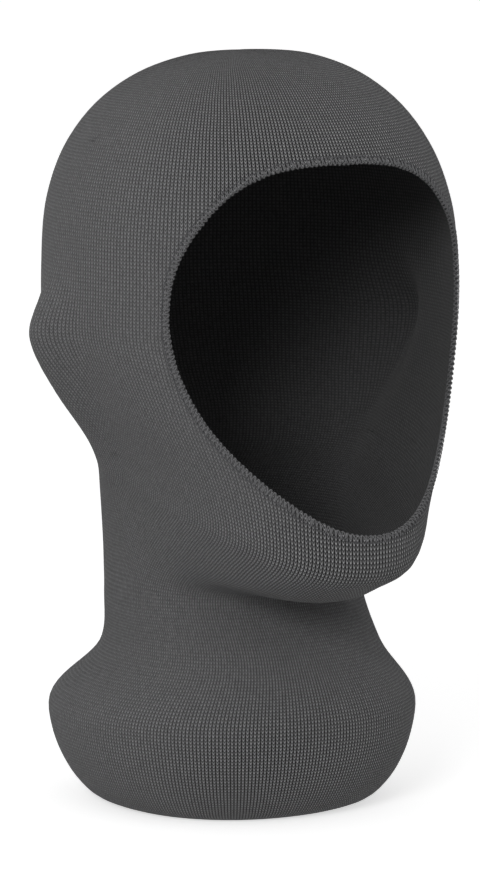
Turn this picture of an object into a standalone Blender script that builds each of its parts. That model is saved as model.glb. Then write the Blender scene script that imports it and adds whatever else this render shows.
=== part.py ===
"""Knitted balaclava: one knitted tube for head, neck and collar, with overlocked edges.

The hood is a loft. Each course of the knit is a closed ring through a front point, two side
points and a back point, and the face opening is a slit in the rings that opens sideways.
The wearer looks along -Y, the wearer's right hand is at -X, and the collar stands on z = 0.
Lengths are in metres.
"""
import math

import bmesh
import bpy
import numpy as np

# Fabric and clearances
FABRIC = 0.0012
GAP = 0.0004
INNER_GAP = 0.0007

# Collar: a bulging roll that turns under to a flat ring
COLLAR_RADIUS = 0.0795
COLLAR_WIDEST_HEIGHT = 0.0415
COLLAR_FOOT_RADIUS = 0.055
COLLAR_CENTRE_Y = 0.018
COLLAR_ROUNDNESS = 1.7
HEM_FLAT = 0.008
HEM_TURN_RADIUS = 0.002
HEM_TURN_UP = 0.008

# Neck
COLLAR_TOP_RADIUS = 0.060
COLLAR_TOP_HEIGHT = 0.071
COLLAR_TOP_Y = 0.0115
NECK_HALF_WIDTH = 0.0565
NECK_HEIGHT = 0.0935
NECK_CENTRE_Y = 0.0145
NECK_FRONT = 0.0464
NECK_BACK = 0.060
NAPE_HEIGHT = 0.138

# Chin and jaw
CHIN_REACH = 0.100
CHIN_UNDERSIDE_HEIGHT = 0.1015
CHIN_LIP_HEIGHT = 0.131
CHIN_ROOT_REACH = 0.0765
CHIN_TIP_HEIGHT = 0.113
JAW_HALF_WIDTH = 0.064
JAW_HEIGHT = 0.158
JAW_BACK = 0.0735

# Head
EAR_LEVEL = 0.209
EAR_LEVEL_HALF_WIDTH = 0.0853
EAR_LEVEL_BACK = 0.0967
BROW_HEIGHT = 0.237
BROW_HALF_WIDTH = 0.0875
BROW_REACH = 0.086
BROW_BACK = 0.0965
CROWN_HEIGHT = 0.329
CROWN_Y = 0.003
RING_SQUARENESS = 2.12

# Dome: powers of the cosine and sine that make its profiles; under 1 is fuller than round
SIDE_FULLNESS = 0.835
SIDE_LIFT = 0.82
FRONT_LIFT = 1.03
BACK_LIFT = 0.88
DOME_SECTIONS = 7

# Ear bumps
EAR_REACH = 0.0142
EAR_HEIGHT = 0.207
EAR_Y = 0.021
EAR_WIDTH = 0.0137
EAR_RISE = 0.0205
EAR_FALL = 0.045

# Face opening
FACE_TOP_HEIGHT = 0.285
FACE_HALF_WIDTH = 0.072
FACE_WIDEST = 0.52
FACE_BOTTOM_SHARPNESS = 0.88
FACE_TOP_SHARPNESS = 0.75

# Overlocked edges
STITCH_WIDTH = 0.0028
THREAD = 0.0004
NEEDLE_THREAD = 0.0005
EDGE_INSET = 0.0003

# Crown seam, on the inside
SEAM_FRONT_Y = -0.028
SEAM_BACK_HEIGHT = 0.262
SEAM_ALLOWANCE = 0.005

# Mesh density
COLUMNS = 40
FACE_ROWS = 29
CROWN_ROWS = 9
BODY_ROWS = 15
SEAM_SHORTEST = 0.004
EDGE_MARGIN = 0.0055

KNIT_COLOUR = (0.085, 0.085, 0.088, 1.0)
THREAD_COLOUR = (0.12, 0.12, 0.124, 1.0)


def clear_scene():
    """Empty the scene of objects."""
    for obj in list(bpy.data.objects):
        bpy.data.objects.remove(obj, do_unlink=True)


def make_collection(name):
    """Make a collection linked to the scene."""
    group = bpy.data.collections.new(name)
    bpy.context.scene.collection.children.link(group)
    return group


def make_material(name, colour, roughness):
    """Make a matte Principled material."""
    mat = bpy.data.materials.new(name)
    mat.use_nodes = True
    shader = mat.node_tree.nodes["Principled BSDF"]
    shader.inputs["Base Color"].default_value = colour
    shader.inputs["Roughness"].default_value = roughness
    shader.inputs["Metallic"].default_value = 0.0
    return mat


def collar_sections():
    """Sections of the lower collar, along a quarter of a superellipse."""
    sections = []
    for turn in np.linspace(0.0, 0.5 * math.pi, 6)[:-1]:
        out = math.sin(turn) ** (2.0 / COLLAR_ROUNDNESS)
        up = 1.0 - math.cos(turn) ** (2.0 / COLLAR_ROUNDNESS)
        radius = COLLAR_FOOT_RADIUS + (COLLAR_RADIUS - COLLAR_FOOT_RADIUS) * out
        sections.append(round_section(radius, COLLAR_CENTRE_Y, COLLAR_WIDEST_HEIGHT * up))
    return sections


def round_section(radius, centre_y, height):
    """A level circular section: half width, centre y, z, front y, z, back y, z."""
    return (radius, centre_y, height, centre_y - radius, height, centre_y + radius, height)


def body_sections():
    """Sections from the widest part of the collar up to the level of the ears."""
    neck_front_y = NECK_CENTRE_Y - NECK_FRONT
    nape_y = NECK_CENTRE_Y + NECK_BACK
    fold_height = 0.5 * (NAPE_HEIGHT + JAW_HEIGHT)
    throat_width = NECK_HALF_WIDTH + 0.2 * (JAW_HALF_WIDTH - NECK_HALF_WIDTH)
    fold_width = 0.5 * (NECK_HALF_WIDTH + JAW_HALF_WIDTH)
    cheek_width = 0.5 * (JAW_HALF_WIDTH + EAR_LEVEL_HALF_WIDTH) + 0.002
    cheek_back = 0.5 * (JAW_BACK + EAR_LEVEL_BACK) + 0.003
    return [
        round_section(COLLAR_RADIUS, COLLAR_CENTRE_Y, COLLAR_WIDEST_HEIGHT),
        round_section(COLLAR_TOP_RADIUS, COLLAR_TOP_Y, COLLAR_TOP_HEIGHT),
        (NECK_HALF_WIDTH, NECK_CENTRE_Y, NECK_HEIGHT,
         neck_front_y, CHIN_UNDERSIDE_HEIGHT - 0.008, nape_y, NECK_HEIGHT),
        (throat_width, NECK_CENTRE_Y, NAPE_HEIGHT,
         -CHIN_ROOT_REACH, CHIN_UNDERSIDE_HEIGHT, nape_y + 0.002, NAPE_HEIGHT),
        (fold_width, NECK_CENTRE_Y - 0.002, fold_height,
         0.002 - CHIN_REACH, CHIN_TIP_HEIGHT, 0.5 * (nape_y + JAW_BACK), fold_height),
        (JAW_HALF_WIDTH, NECK_CENTRE_Y - 0.006, JAW_HEIGHT,
         -CHIN_REACH, CHIN_LIP_HEIGHT, JAW_BACK, JAW_HEIGHT),
        (cheek_width, 0.0045, 0.5 * (JAW_HEIGHT + EAR_LEVEL),
         0.003 - CHIN_REACH, 0.5 * (CHIN_LIP_HEIGHT + EAR_LEVEL),
         cheek_back, 0.5 * (JAW_HEIGHT + EAR_LEVEL)),
        (EAR_LEVEL_HALF_WIDTH, 0.0055, EAR_LEVEL,
         -0.5 * (BROW_REACH + CHIN_REACH) + 0.0015, EAR_LEVEL, EAR_LEVEL_BACK, EAR_LEVEL),
    ]


def dome_sections():
    """Sections of the dome: superellipse quarters for side, front and back profiles."""
    sections = []
    rise = CROWN_HEIGHT - BROW_HEIGHT
    for turn in np.linspace(0.0, 0.5 * math.pi, DOME_SECTIONS):
        across, up = max(math.cos(turn), 0.0), math.sin(turn)
        width = across ** SIDE_FULLNESS if across > 1e-9 else 0.0
        sections.append((
            BROW_HALF_WIDTH * width, CROWN_Y, BROW_HEIGHT + rise * up ** SIDE_LIFT,
            CROWN_Y - (BROW_REACH + CROWN_Y) * across, BROW_HEIGHT + rise * up ** FRONT_LIFT,
            CROWN_Y + (BROW_BACK - CROWN_Y) * across, BROW_HEIGHT + rise * up ** BACK_LIFT))
    return sections


SECTIONS = np.array(collar_sections() + body_sections() + dome_sections())
CHIN_LIP_SECTION = len(collar_sections()) + 5
EAR_SECTION = CHIN_LIP_SECTION + 2


def section_places():
    """Place of each section, 0 at the foot and 1 at the crown, and the profile's length."""
    side = np.linalg.norm(np.diff(SECTIONS[:, [0, 2]], axis=0), axis=1)
    front = np.linalg.norm(np.diff(SECTIONS[:, [3, 4]], axis=0), axis=1)
    places = np.concatenate([[0.0], np.cumsum(side + 0.35 * front)])
    return places / places[-1], places[-1]


PLACES, PROFILE_LENGTH = section_places()


def ring_values(places):
    """Section values at any places, by cubic pieces with matching slopes."""
    slope = np.diff(SECTIONS, axis=0) / np.diff(PLACES)[:, None]
    step = np.diff(PLACES)[:, None]
    inner = (step[1:] * slope[:-1] + step[:-1] * slope[1:]) / (step[1:] + step[:-1])
    tangent = np.vstack([slope[:1], inner, slope[-1:]])
    low = np.clip(np.searchsorted(PLACES, places, side="right") - 1, 0, len(PLACES) - 2)
    span = step[low]
    part = (np.asarray(places)[:, None] - PLACES[low][:, None]) / span
    rest = 1.0 - part
    return (SECTIONS[low] * (1 + 2 * part) * rest ** 2
            + SECTIONS[low + 1] * part ** 2 * (3 - 2 * part)
            + tangent[low] * span * part * rest ** 2
            - tangent[low + 1] * span * part ** 2 * rest)


def surface(places, turns):
    """Points of the outer face: places up the hood, turns around it (0 front, pi back)."""
    values = ring_values(np.ravel(places)).reshape(np.shape(places) + (7,))
    width, side_y, side_z, front_y, front_z, back_y, back_z = np.moveaxis(values, -1, 0)
    power = 2.0 / RING_SQUARENESS
    sine, cosine = np.sin(turns), np.cos(turns)
    across = np.sign(sine) * np.abs(sine) ** power
    along = np.abs(cosine) ** power
    tilt = np.abs(cosine) ** 1.2
    facing = cosine > 0.0
    x = width * across
    y = side_y + np.where(facing, front_y - side_y, back_y - side_y) * along
    z = side_z + np.where(facing, front_z - side_z, back_z - side_z) * tilt
    above = (z - EAR_HEIGHT) / EAR_RISE
    below = np.abs(z - EAR_HEIGHT) / EAR_FALL
    bump = np.exp(-((y - EAR_Y) / EAR_WIDTH) ** 2)
    bump *= np.where(z > EAR_HEIGHT, np.exp(-above ** 2), np.exp(-below ** 1.7))
    x = x + np.sign(x) * EAR_REACH * bump * (np.abs(x) > 0.03)
    return np.stack([x, y, z], axis=-1)


def normals(places, turns):
    """Outward unit normals of the surface, from small steps both ways."""
    step = 2e-4
    low, high = np.clip(places - step, 0, 1), np.clip(places + step, 0, 1)
    up = surface(high, turns) - surface(low, turns)
    around = surface(places, turns + step) - surface(places, turns - step)
    out = np.cross(around, up)
    return out / np.linalg.norm(out, axis=-1, keepdims=True)


def line_lengths(points):
    """Length run along a line of points, from zero at its start."""
    return np.concatenate([[0.0], np.cumsum(np.linalg.norm(np.diff(points, axis=0), axis=1))])


def face_edge(grow):
    """The face opening grown by a margin: rows evenly spaced along it, and each one's turn."""
    line = np.linspace(0.0, 1.0, 1200)
    run = line_lengths(surface(line, np.zeros_like(line)))
    dome = line[line > PLACES[EAR_SECTION]]
    top = np.interp(FACE_TOP_HEIGHT, ring_values(dome)[:, 4], dome)
    bottom = np.interp(np.interp(PLACES[CHIN_LIP_SECTION], line, run) - grow, run, line)
    top = np.interp(np.interp(top, line, run) + grow, run, line)
    share = 0.5 - 0.5 * np.cos(np.linspace(0.0, math.pi, 600))
    places = bottom + (top - bottom) * share
    warped = share ** (math.log(0.5) / math.log(FACE_WIDEST))
    swell = np.sqrt(np.clip(4.0 * warped * (1.0 - warped), 0.0, 1.0))
    sharp = FACE_BOTTOM_SHARPNESS + (FACE_TOP_SHARPNESS - FACE_BOTTOM_SHARPNESS) * warped
    half = (FACE_HALF_WIDTH + grow) * swell ** sharp
    ratio = np.clip(half / ring_values(places)[:, 0], 0.0, 0.985)
    turns = np.arcsin(ratio ** (RING_SQUARENESS / 2.0))
    length = line_lengths(surface(places, turns))
    even = np.linspace(0.0, length[-1], FACE_ROWS)
    return np.interp(even, length, places), np.interp(even, length, turns)


def hem_rows():
    """Rows of the hem: up inside the collar, round the turn and along the flat ring."""
    turn_x = COLLAR_FOOT_RADIUS - HEM_FLAT
    profile = [(turn_x - HEM_TURN_RADIUS, HEM_TURN_UP),
               (turn_x - HEM_TURN_RADIUS, 0.6 * HEM_TURN_UP)]
    for turn in np.linspace(0.0, 0.5 * math.pi, 4):
        profile.append((turn_x - HEM_TURN_RADIUS * math.cos(turn),
                        HEM_TURN_RADIUS * (1.0 - math.sin(turn))))
    return profile


def hem_ring(radius, height, turns):
    """A level ring of the hem with the same outline as the foot of the collar."""
    power = 2.0 / RING_SQUARENESS
    x = radius * np.sign(np.sin(turns)) * np.abs(np.sin(turns)) ** power
    y = np.sign(np.cos(turns)) * np.abs(np.cos(turns)) ** power
    return np.stack([x, COLLAR_CENTRE_Y - radius * y, np.full_like(x, height)], axis=-1)


def hood_rows():
    """Rows of the hood from the collar's foot to the crown, and the turn each starts at."""
    border_places, border_turns = face_edge(EDGE_MARGIN)
    below = np.linspace(0.0, border_places[0], BODY_ROWS)[:-1]
    rise = np.sin(np.linspace(0.0, 0.5 * math.pi, CROWN_ROWS + 1)[1:])
    above = border_places[-1] + (1.0 - border_places[-1]) * rise
    places = np.concatenate([below, border_places, above])
    return places, np.interp(places, border_places, border_turns, left=0.0, right=0.0)


def face_border(side):
    """The border strip on one side of the face opening: its edge and where the rows start."""
    strip = [surface(places, side * turns) for places, turns in (face_edge(0.0),
                                                                 face_edge(EDGE_MARGIN))]
    return np.stack(strip, axis=1)


def link(obj, group, mat):
    """Put an object in a collection and give it a material."""
    group.objects.link(obj)
    obj.data.materials.append(mat)
    return obj


def mesh_object(name, points, faces, group, mat):
    """Make a smooth mesh object from points and faces, with doubles merged."""
    mesh = bpy.data.meshes.new(name)
    mesh.from_pydata([tuple(p) for p in points], [], faces)
    work = bmesh.new()
    work.from_mesh(mesh)
    bmesh.ops.remove_doubles(work, verts=work.verts, dist=2e-6)
    bmesh.ops.recalc_face_normals(work, faces=work.faces)
    work.to_mesh(mesh)
    work.free()
    mesh.shade_smooth()
    mesh.set_sharp_from_angle(angle=math.radians(50))
    return link(bpy.data.objects.new(name, mesh), group, mat)


def grid_faces(rows, columns, closed=False):
    """Quads of a grid of points, with the last column joined to the first if closed."""
    faces = []
    for row in range(rows - 1):
        for column in range(columns if closed else columns - 1):
            here = row * columns + column
            right = row * columns + (column + 1) % columns
            faces.append((here, right, right + columns, here + columns))
    return faces


def add_wall(obj, thickness, offset):
    """Give an open surface its wall."""
    wall = obj.modifiers.new("Wall", "SOLIDIFY")
    wall.thickness = thickness
    wall.offset = offset
    wall.use_even_offset = True
    wall.use_rim = True


def make_hood(group, cutters, mat):
    """The knitted tube: hem, collar, neck, chin, head and crown in one piece of fabric."""
    places, starts = hood_rows()
    shares = np.linspace(0.0, 1.0, COLUMNS + 1)
    turns = starts[:, None] + (2.0 * math.pi - 2.0 * starts[:, None]) * shares
    body = surface(np.broadcast_to(places[:, None], turns.shape), turns)
    around = 2.0 * math.pi * shares
    hem = np.array([hem_ring(radius, height, around) for radius, height in hem_rows()])
    points = np.concatenate([hem, body]).reshape(-1, 3)
    faces = grid_faces(len(hem) + len(body), len(shares))
    for side in (1, -1):
        strip = face_border(side)
        faces += [tuple(corner + len(points) for corner in face)
                  for face in grid_faces(len(strip), 2)]
        points = np.concatenate([points, strip.reshape(-1, 3)])
    hood = mesh_object("hood_fabric", points, faces, group, mat)
    add_wall(hood, FABRIC, -1.0)
    join_allowance(hood, cutters)
    return hood


def seam_path(depth):
    """Points along the crown seam, at a depth below the hood's faces, front to back."""
    places, _ = hood_rows()
    dome = places[places >= PLACES[EAR_SECTION]]
    values = ring_values(dome)
    front = seam_half(dome, np.interp(SEAM_FRONT_Y, values[:, 3], dome), 0.0, depth)
    back = seam_half(dome, np.interp(SEAM_BACK_HEIGHT, values[:, 6], dome), math.pi, depth)
    return np.concatenate([front, back[-2::-1]])


def seam_half(dome, start, turn, depth):
    """Half of the seam, from its start up to the crown, with a point at each of the rows."""
    places = np.append(start, dome[dome > start + SEAM_SHORTEST])
    rows = surface(dome, np.full_like(dome, turn))
    points = np.stack([np.interp(places, dome, rows[:, axis]) for axis in range(3)], axis=-1)
    return points - normals(np.minimum(places, 1.0 - 1e-3), np.full_like(places, turn)) * depth


def strip_between(name, upper, lower, side, thickness, group, mat):
    """A flat strip in a plane x = side that spans two paths, as a walled open surface."""
    points = np.concatenate([upper, lower])
    points[:, 0] = side
    obj = mesh_object(name, points, grid_faces(2, len(upper)), group, mat)
    add_wall(obj, thickness, 0.0)
    return obj


def join_allowance(hood, cutters):
    """Join the two turned-in edges of the crown seam to the inside of the hood.

    Both meshes are closed. The exact solver returns nothing where the seam crosses the small
    faces round the crown's pole, so the manifold solver makes this union.
    """
    fin = strip_between("seam_allowance", seam_path(0.5 * FABRIC),
                        seam_path(FABRIC + SEAM_ALLOWANCE), 0.0, 2.0 * FABRIC,
                        cutters, hood.data.materials[0])
    fin.hide_render = True
    fin.display_type = "WIRE"
    union = hood.modifiers.new("Seam allowance", "BOOLEAN")
    union.operation = "UNION"
    union.solver = "MANIFOLD"
    union.object = fin


def face_edge_frame():
    """The face opening's edge: points, and directions square to and along its border strip."""
    right, left = face_border(1), face_border(-1)
    strip = np.concatenate([right, left[-2:0:-1]])
    points, into = strip[:, 0], strip[:, 1] - strip[:, 0]
    into /= np.linalg.norm(into, axis=1, keepdims=True)
    along = np.roll(points, -1, axis=0) - np.roll(points, 1, axis=0)
    out = np.cross(into, along)
    out /= np.linalg.norm(out, axis=1, keepdims=True)
    middle = np.array([0.0, 0.0, 0.5 * (CHIN_LIP_HEIGHT + FACE_TOP_HEIGHT)])
    return points, out * np.sign(np.sum(out * (points - middle), axis=1))[:, None], into


def hem_edge_frame():
    """The hem's cut edge, which stands up inside the collar."""
    turns = np.linspace(0.0, 2.0 * math.pi, 48, endpoint=False)
    radius, height = hem_rows()[0]
    points = hem_ring(radius, height, turns)
    centre = np.array([0.0, COLLAR_CENTRE_Y, height])
    out = centre - points
    out /= np.linalg.norm(out, axis=1, keepdims=True)
    return points, out, np.broadcast_to([0.0, 0.0, -1.0], points.shape)


def edge_band(name, frame, height, group, mat):
    """The loops of one looper thread, as a band along an edge at a height off the fabric."""
    points, out, into = frame
    near = points + out * height + into * EDGE_INSET
    far = points + out * height + into * (EDGE_INSET + STITCH_WIDTH)
    faces = grid_faces(2, len(points), closed=True)
    obj = mesh_object(name, np.concatenate([near, far]), faces, group, mat)
    add_wall(obj, THREAD, 0.0)
    return obj


def thread_curve(name, path, cyclic, group, mat):
    """A round thread along a path."""
    data = bpy.data.curves.new(name, "CURVE")
    data.dimensions = "3D"
    data.bevel_depth = 0.5 * NEEDLE_THREAD
    data.bevel_resolution = 1
    data.use_fill_caps = True
    spline = data.splines.new("POLY")
    spline.points.add(len(path) - 1)
    spline.points.foreach_set("co", np.c_[path, np.ones(len(path))].ravel())
    spline.use_cyclic_u = cyclic
    return link(bpy.data.objects.new(name, data), group, mat)


def make_edge_threads(prefix, frame, group, mats):
    """Three threads of an overlocked edge: outer loops, inner loops and needle line."""
    points, out, into = frame
    outer = GAP + 0.5 * THREAD
    inner = -FABRIC - INNER_GAP - 0.5 * THREAD
    edge_band(prefix + "_upper_looper_thread", frame, outer, group, mats[0])
    edge_band(prefix + "_lower_looper_thread", frame, inner, group, mats[1])
    needle_in = EDGE_INSET + STITCH_WIDTH + GAP + 0.5 * NEEDLE_THREAD
    needle = points + out * (GAP + 0.5 * NEEDLE_THREAD) + into * needle_in
    thread_curve(prefix + "_needle_thread", needle, True, group, mats[2])


def make_crown_threads(group, mats):
    """Three threads of the crown seam, on both sides of its allowance."""
    side = FABRIC + GAP + 0.5 * THREAD
    top = seam_path(FABRIC + 0.4 * SEAM_ALLOWANCE)
    foot = seam_path(FABRIC + SEAM_ALLOWANCE - EDGE_INSET)
    strip_between("crown_seam_upper_looper_thread", top, foot, side, THREAD, group, mats[0])
    strip_between("crown_seam_lower_looper_thread", top, foot, -side, THREAD, group, mats[1])
    needle = seam_path(FABRIC + 0.4 * SEAM_ALLOWANCE - GAP - 0.5 * NEEDLE_THREAD)
    needle[:, 0] = FABRIC + GAP + 0.5 * NEEDLE_THREAD
    thread_curve("crown_seam_needle_thread", needle, False, group, mats[2])


def middle_of(group):
    """Middle of the box around the finished pieces."""
    bpy.context.view_layer.update()
    scene = bpy.context.evaluated_depsgraph_get()
    corners = []
    for obj in group.objects:
        mesh = obj.evaluated_get(scene).to_mesh()
        corners.append(np.array([obj.matrix_world @ v.co for v in mesh.vertices]))
    points = np.concatenate(corners)
    return 0.5 * (points.min(axis=0) + points.max(axis=0))


def main():
    """Build the balaclava."""
    clear_scene()
    group = make_collection("balaclava")
    cutters = make_collection("cutters")
    knit = make_material("knitted_acrylic", KNIT_COLOUR, 0.95)
    mats = [make_material("spun_thread_" + use, THREAD_COLOUR, 0.85)
            for use in ("upper_looper", "lower_looper", "needle")]
    make_hood(group, cutters, knit)
    make_edge_threads("face_edge", face_edge_frame(), group, mats)
    make_edge_threads("hem_edge", hem_edge_frame(), group, mats)
    make_crown_threads(group, mats)
    middle = middle_of(group)
    for obj in list(group.objects) + list(cutters.objects):
        obj.location.x -= middle[0]
        obj.location.y -= middle[1]


main()
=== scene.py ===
"""Looks of a knitted balaclava: a jersey hood with overlocked face edge, hem and crown seam.

The hood is a loft of knitted courses worked out with numpy, and each sewing thread is a round
section carried along its own stitches. The wearer looks along -Y, and the collar stands on
z = 0. Lengths are in metres.
"""
import math

import bpy
import numpy as np
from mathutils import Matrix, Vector


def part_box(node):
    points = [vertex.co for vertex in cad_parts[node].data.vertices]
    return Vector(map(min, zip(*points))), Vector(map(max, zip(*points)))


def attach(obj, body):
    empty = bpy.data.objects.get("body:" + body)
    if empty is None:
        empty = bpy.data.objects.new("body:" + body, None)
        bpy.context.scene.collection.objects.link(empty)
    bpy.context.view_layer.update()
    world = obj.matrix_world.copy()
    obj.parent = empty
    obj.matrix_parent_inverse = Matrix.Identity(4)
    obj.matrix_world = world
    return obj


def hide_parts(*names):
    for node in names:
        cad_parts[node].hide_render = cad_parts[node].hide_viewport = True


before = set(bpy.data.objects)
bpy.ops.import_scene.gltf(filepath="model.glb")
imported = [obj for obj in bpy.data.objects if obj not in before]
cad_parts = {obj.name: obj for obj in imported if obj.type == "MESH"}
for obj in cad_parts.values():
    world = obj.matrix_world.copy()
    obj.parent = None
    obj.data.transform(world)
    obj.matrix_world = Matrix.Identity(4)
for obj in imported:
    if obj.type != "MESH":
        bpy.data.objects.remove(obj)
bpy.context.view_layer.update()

HOOD_LOW, HOOD_HIGH = (np.array(corner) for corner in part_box("hood_fabric"))

# Fabric of the hood. Wales are its upright columns of stitches and courses its level rows.
# An estimate: the wales come out 1.8 mm apart at the brow and 1.1 mm at the neck. Courses are
# drawn a little coarser than such a knit's own, about 1.4 mm, so that they show.
FABRIC = 0.0012
WALES_AROUND = 312
COURSE_PITCH = 0.00155
RELAXED_WALE = 0.00130

# Gather of the wales behind the crown, as a share of the dome's reach, and the steps to find it
GATHER = 0.10
GATHER_HALVINGS = 30

# Tightness, which sets how strong the knit's painted shade and painted light are: the share of it
# that slack knit keeps, and the middle and spread of each tight area (forehead, chin and front of
# the collar)
RELAXED_SHARE = 0.25
TIGHT_AREAS = (((0.0, -0.070, 0.295), (0.075, 0.070, 0.050)),
               ((0.0, -0.095, 0.122), (0.060, 0.040, 0.026)),
               ((0.0, -0.050, 0.024), (0.075, 0.060, 0.030)))

# Collar: a bulging roll that turns under to a flat ring
COLLAR_RADIUS = 0.0795
COLLAR_WIDEST_HEIGHT = 0.0415
COLLAR_FOOT_RADIUS = 0.055
COLLAR_CENTRE_Y = 0.018
COLLAR_ROUNDNESS = 1.7
COLLAR_SECTIONS = 5
HEM_FLAT = 0.008
HEM_TURN_RADIUS = 0.002
HEM_TURN_UP = 0.008

# Neck
COLLAR_TOP_RADIUS = 0.060
COLLAR_TOP_HEIGHT = 0.071
COLLAR_TOP_Y = 0.0115
NECK_HALF_WIDTH = 0.0565
NECK_HEIGHT = 0.0935
NECK_CENTRE_Y = 0.0145
NECK_FRONT = 0.0464
NECK_BACK = 0.060
NAPE_HEIGHT = 0.138
NAPE_STEP = 0.002
THROAT_SHARE = 0.2
THROAT_DROP = 0.008

# Chin and jaw
CHIN_REACH = 0.100
CHIN_UNDERSIDE_HEIGHT = 0.1015
CHIN_LIP_HEIGHT = 0.131
CHIN_ROOT_REACH = 0.0765
CHIN_TIP_HEIGHT = 0.113
CHIN_TIP_STEP = 0.002
JAW_HALF_WIDTH = 0.064
JAW_HEIGHT = 0.158
JAW_BACK = 0.0735
JAW_FORWARD = 0.006
FOLD_FORWARD = 0.002

# Cheek, halfway from the jaw to the ears, and how much fuller it is than halfway
CHEEK_Y = 0.0045
CHEEK_FULLNESS = 0.002
CHEEK_BACK_FULLNESS = 0.003
CHEEK_STEP = 0.003

# Head
EAR_LEVEL = 0.209
EAR_LEVEL_HALF_WIDTH = 0.0853
EAR_LEVEL_BACK = 0.0967
EAR_LEVEL_Y = 0.0055
EAR_LEVEL_STEP = 0.0015
BROW_HEIGHT = 0.237
BROW_HALF_WIDTH = 0.0875
BROW_REACH = 0.086
BROW_BACK = 0.0965
CROWN_HEIGHT = 0.329
CROWN_Y = 0.003

# Rings: squareness of their outline, power of their tilt, and the share of the front's length
# that counts beside the side's when rings are placed
RING_SQUARENESS = 2.12
RING_TILT = 1.2
FRONT_SHARE = 0.35

# Dome: powers of the cosine and sine that make its profiles; under 1 is fuller than round
SIDE_FULLNESS = 0.835
SIDE_LIFT = 0.82
FRONT_LIFT = 1.03
BACK_LIFT = 0.88
DOME_SECTIONS = 7

# Ear bumps, which start EAR_CLEAR out from the middle line
EAR_REACH = 0.0142
EAR_HEIGHT = 0.207
EAR_Y = 0.021
EAR_WIDTH = 0.0137
EAR_RISE = 0.0205
EAR_FALL = 0.045
EAR_FALL_POWER = 1.7
EAR_CLEAR = 0.03

# Face opening, which takes at most FACE_LIMIT of a ring's half width
FACE_TOP_HEIGHT = 0.285
FACE_HALF_WIDTH = 0.072
FACE_WIDEST = 0.52
FACE_BOTTOM_SHARPNESS = 0.88
FACE_TOP_SHARPNESS = 0.75
FACE_LIMIT = 0.985
FACE_MIDDLE = (0.0, -0.12, 0.21)

# Crown seam: it runs over the crown on the middle line, with its allowance inside
SEAM_FRONT_Y = -0.028
SEAM_BACK_HEIGHT = 0.262
SEAM_ALLOWANCE = 0.005
SEAM_GROOVE_DEPTH = 0.0007
SEAM_GROOVE_WIDTH = 0.0016
SEAM_FADE_FRONT = 0.012
SEAM_FADE_BACK = 0.010
ALLOWANCE_ROOT = 0.75 * FABRIC
ALLOWANCE_CLEARANCE = 0.00004
CROWN_MARGIN = 1e-3

# Slack in the fabric: small folds under the chin, and a low wave round the collar
THROAT_FOLD_HEIGHT = 0.100
THROAT_FOLD_RISE = 0.010
THROAT_FOLD_SPREAD = 0.012
THROAT_FOLD_SLANT = 0.012
THROAT_FOLD_WAVE = 0.0035
THROAT_FOLD_DEPTH = 0.00035
COLLAR_WAVE_HEIGHT = 0.030
COLLAR_WAVE_SPREAD = 0.020
COLLAR_WAVES = 3.0
COLLAR_WAVE_SLANT = 40.0
COLLAR_WAVE_DEPTH = 0.0005

# Overlock stitches
STITCH_WIDTH = 0.0024
FACE_STITCH_PITCH = 0.0022
HEM_STITCH_PITCH = 0.0030
LOOPER_THREAD = 0.00055
NEEDLE_THREAD = 0.00040
THREAD_REST = 0.00012
THREAD_SIDES = 6
LOOPER_POINTS = 10
NEEDLE_POINTS = 6
NEEDLE_SET_IN = 0.0004

# Loops of a looper thread: lean of the upper and lower ones, how much they narrow and sway,
# how uneven and loose they are, where they reach the face, and how their thickness varies
UPPER_LEAN = 0.45
LOWER_LEAN = -0.35
LOOP_NARROWING = 0.16
LOOP_SWAY = 0.10
LOOP_UNEVEN = 0.12
LOOP_LOOSE = 0.00055
LOOP_ON_FACE = 0.22
LOOP_THICKNESS_CHANGE = 0.15

# Density of the surfaces, and of the lines that lengths are read from
HOOD_COLUMNS = 190
COLUMN_CROWDING = 0.07
FACE_ROWS = 112
BODY_ROWS = 62
CROWN_ROWS = 30
HEM_STEPS = 5
ALLOWANCE_ROWS = 6
DENSE_PLACES = 400
DENSE_TURNS = 721
DOME_LEVELS = 80
DOME_TURNS = 181
FACE_EDGE_POINTS = 600
HEM_EDGE_POINTS = 240
SEAM_POINTS = 160
WELD_DISTANCE = 1e-5

# Camera
CAMERA_PLACE = (-1.0657, -1.7882, 0.4551)
CAMERA_TARGET = (-0.0050, 0.0051, 0.1608)
CAMERA_LENS = 199.7
CAMERA_SENSOR = 36.0

# Studio: a soft key light, white surroundings that dim towards the floor, and white paper
KEY_PLACE = (-2.5, -2.2, 1.6)
KEY_AIM = (0.0, 0.0, 0.20)
KEY_SIZE = 1.2
KEY_POWER = 46.0
SURROUND_LOW = 0.28
SURROUND_HIGH = 0.48
FLOOR_RADIUS = 14.0
FLOOR_SIDES = 96
FLOOR_DROP = 0.0002
PAPER_GLOW = 0.60


def collar_sections():
    """Sections of the lower collar, along a quarter of a superellipse from foot to bulge."""
    sections = []
    for turn in np.linspace(0.0, 0.5 * math.pi, COLLAR_SECTIONS + 1)[:-1]:
        out = math.sin(turn) ** (2.0 / COLLAR_ROUNDNESS)
        up = 1.0 - math.cos(turn) ** (2.0 / COLLAR_ROUNDNESS)
        radius = COLLAR_FOOT_RADIUS + (COLLAR_RADIUS - COLLAR_FOOT_RADIUS) * out
        sections.append(round_section(radius, COLLAR_CENTRE_Y, COLLAR_WIDEST_HEIGHT * up))
    return sections


def round_section(radius, centre_y, height):
    """A level circular section: half width, centre y, z, front y, z, back y, z."""
    return (radius, centre_y, height, centre_y - radius, height, centre_y + radius, height)


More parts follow.
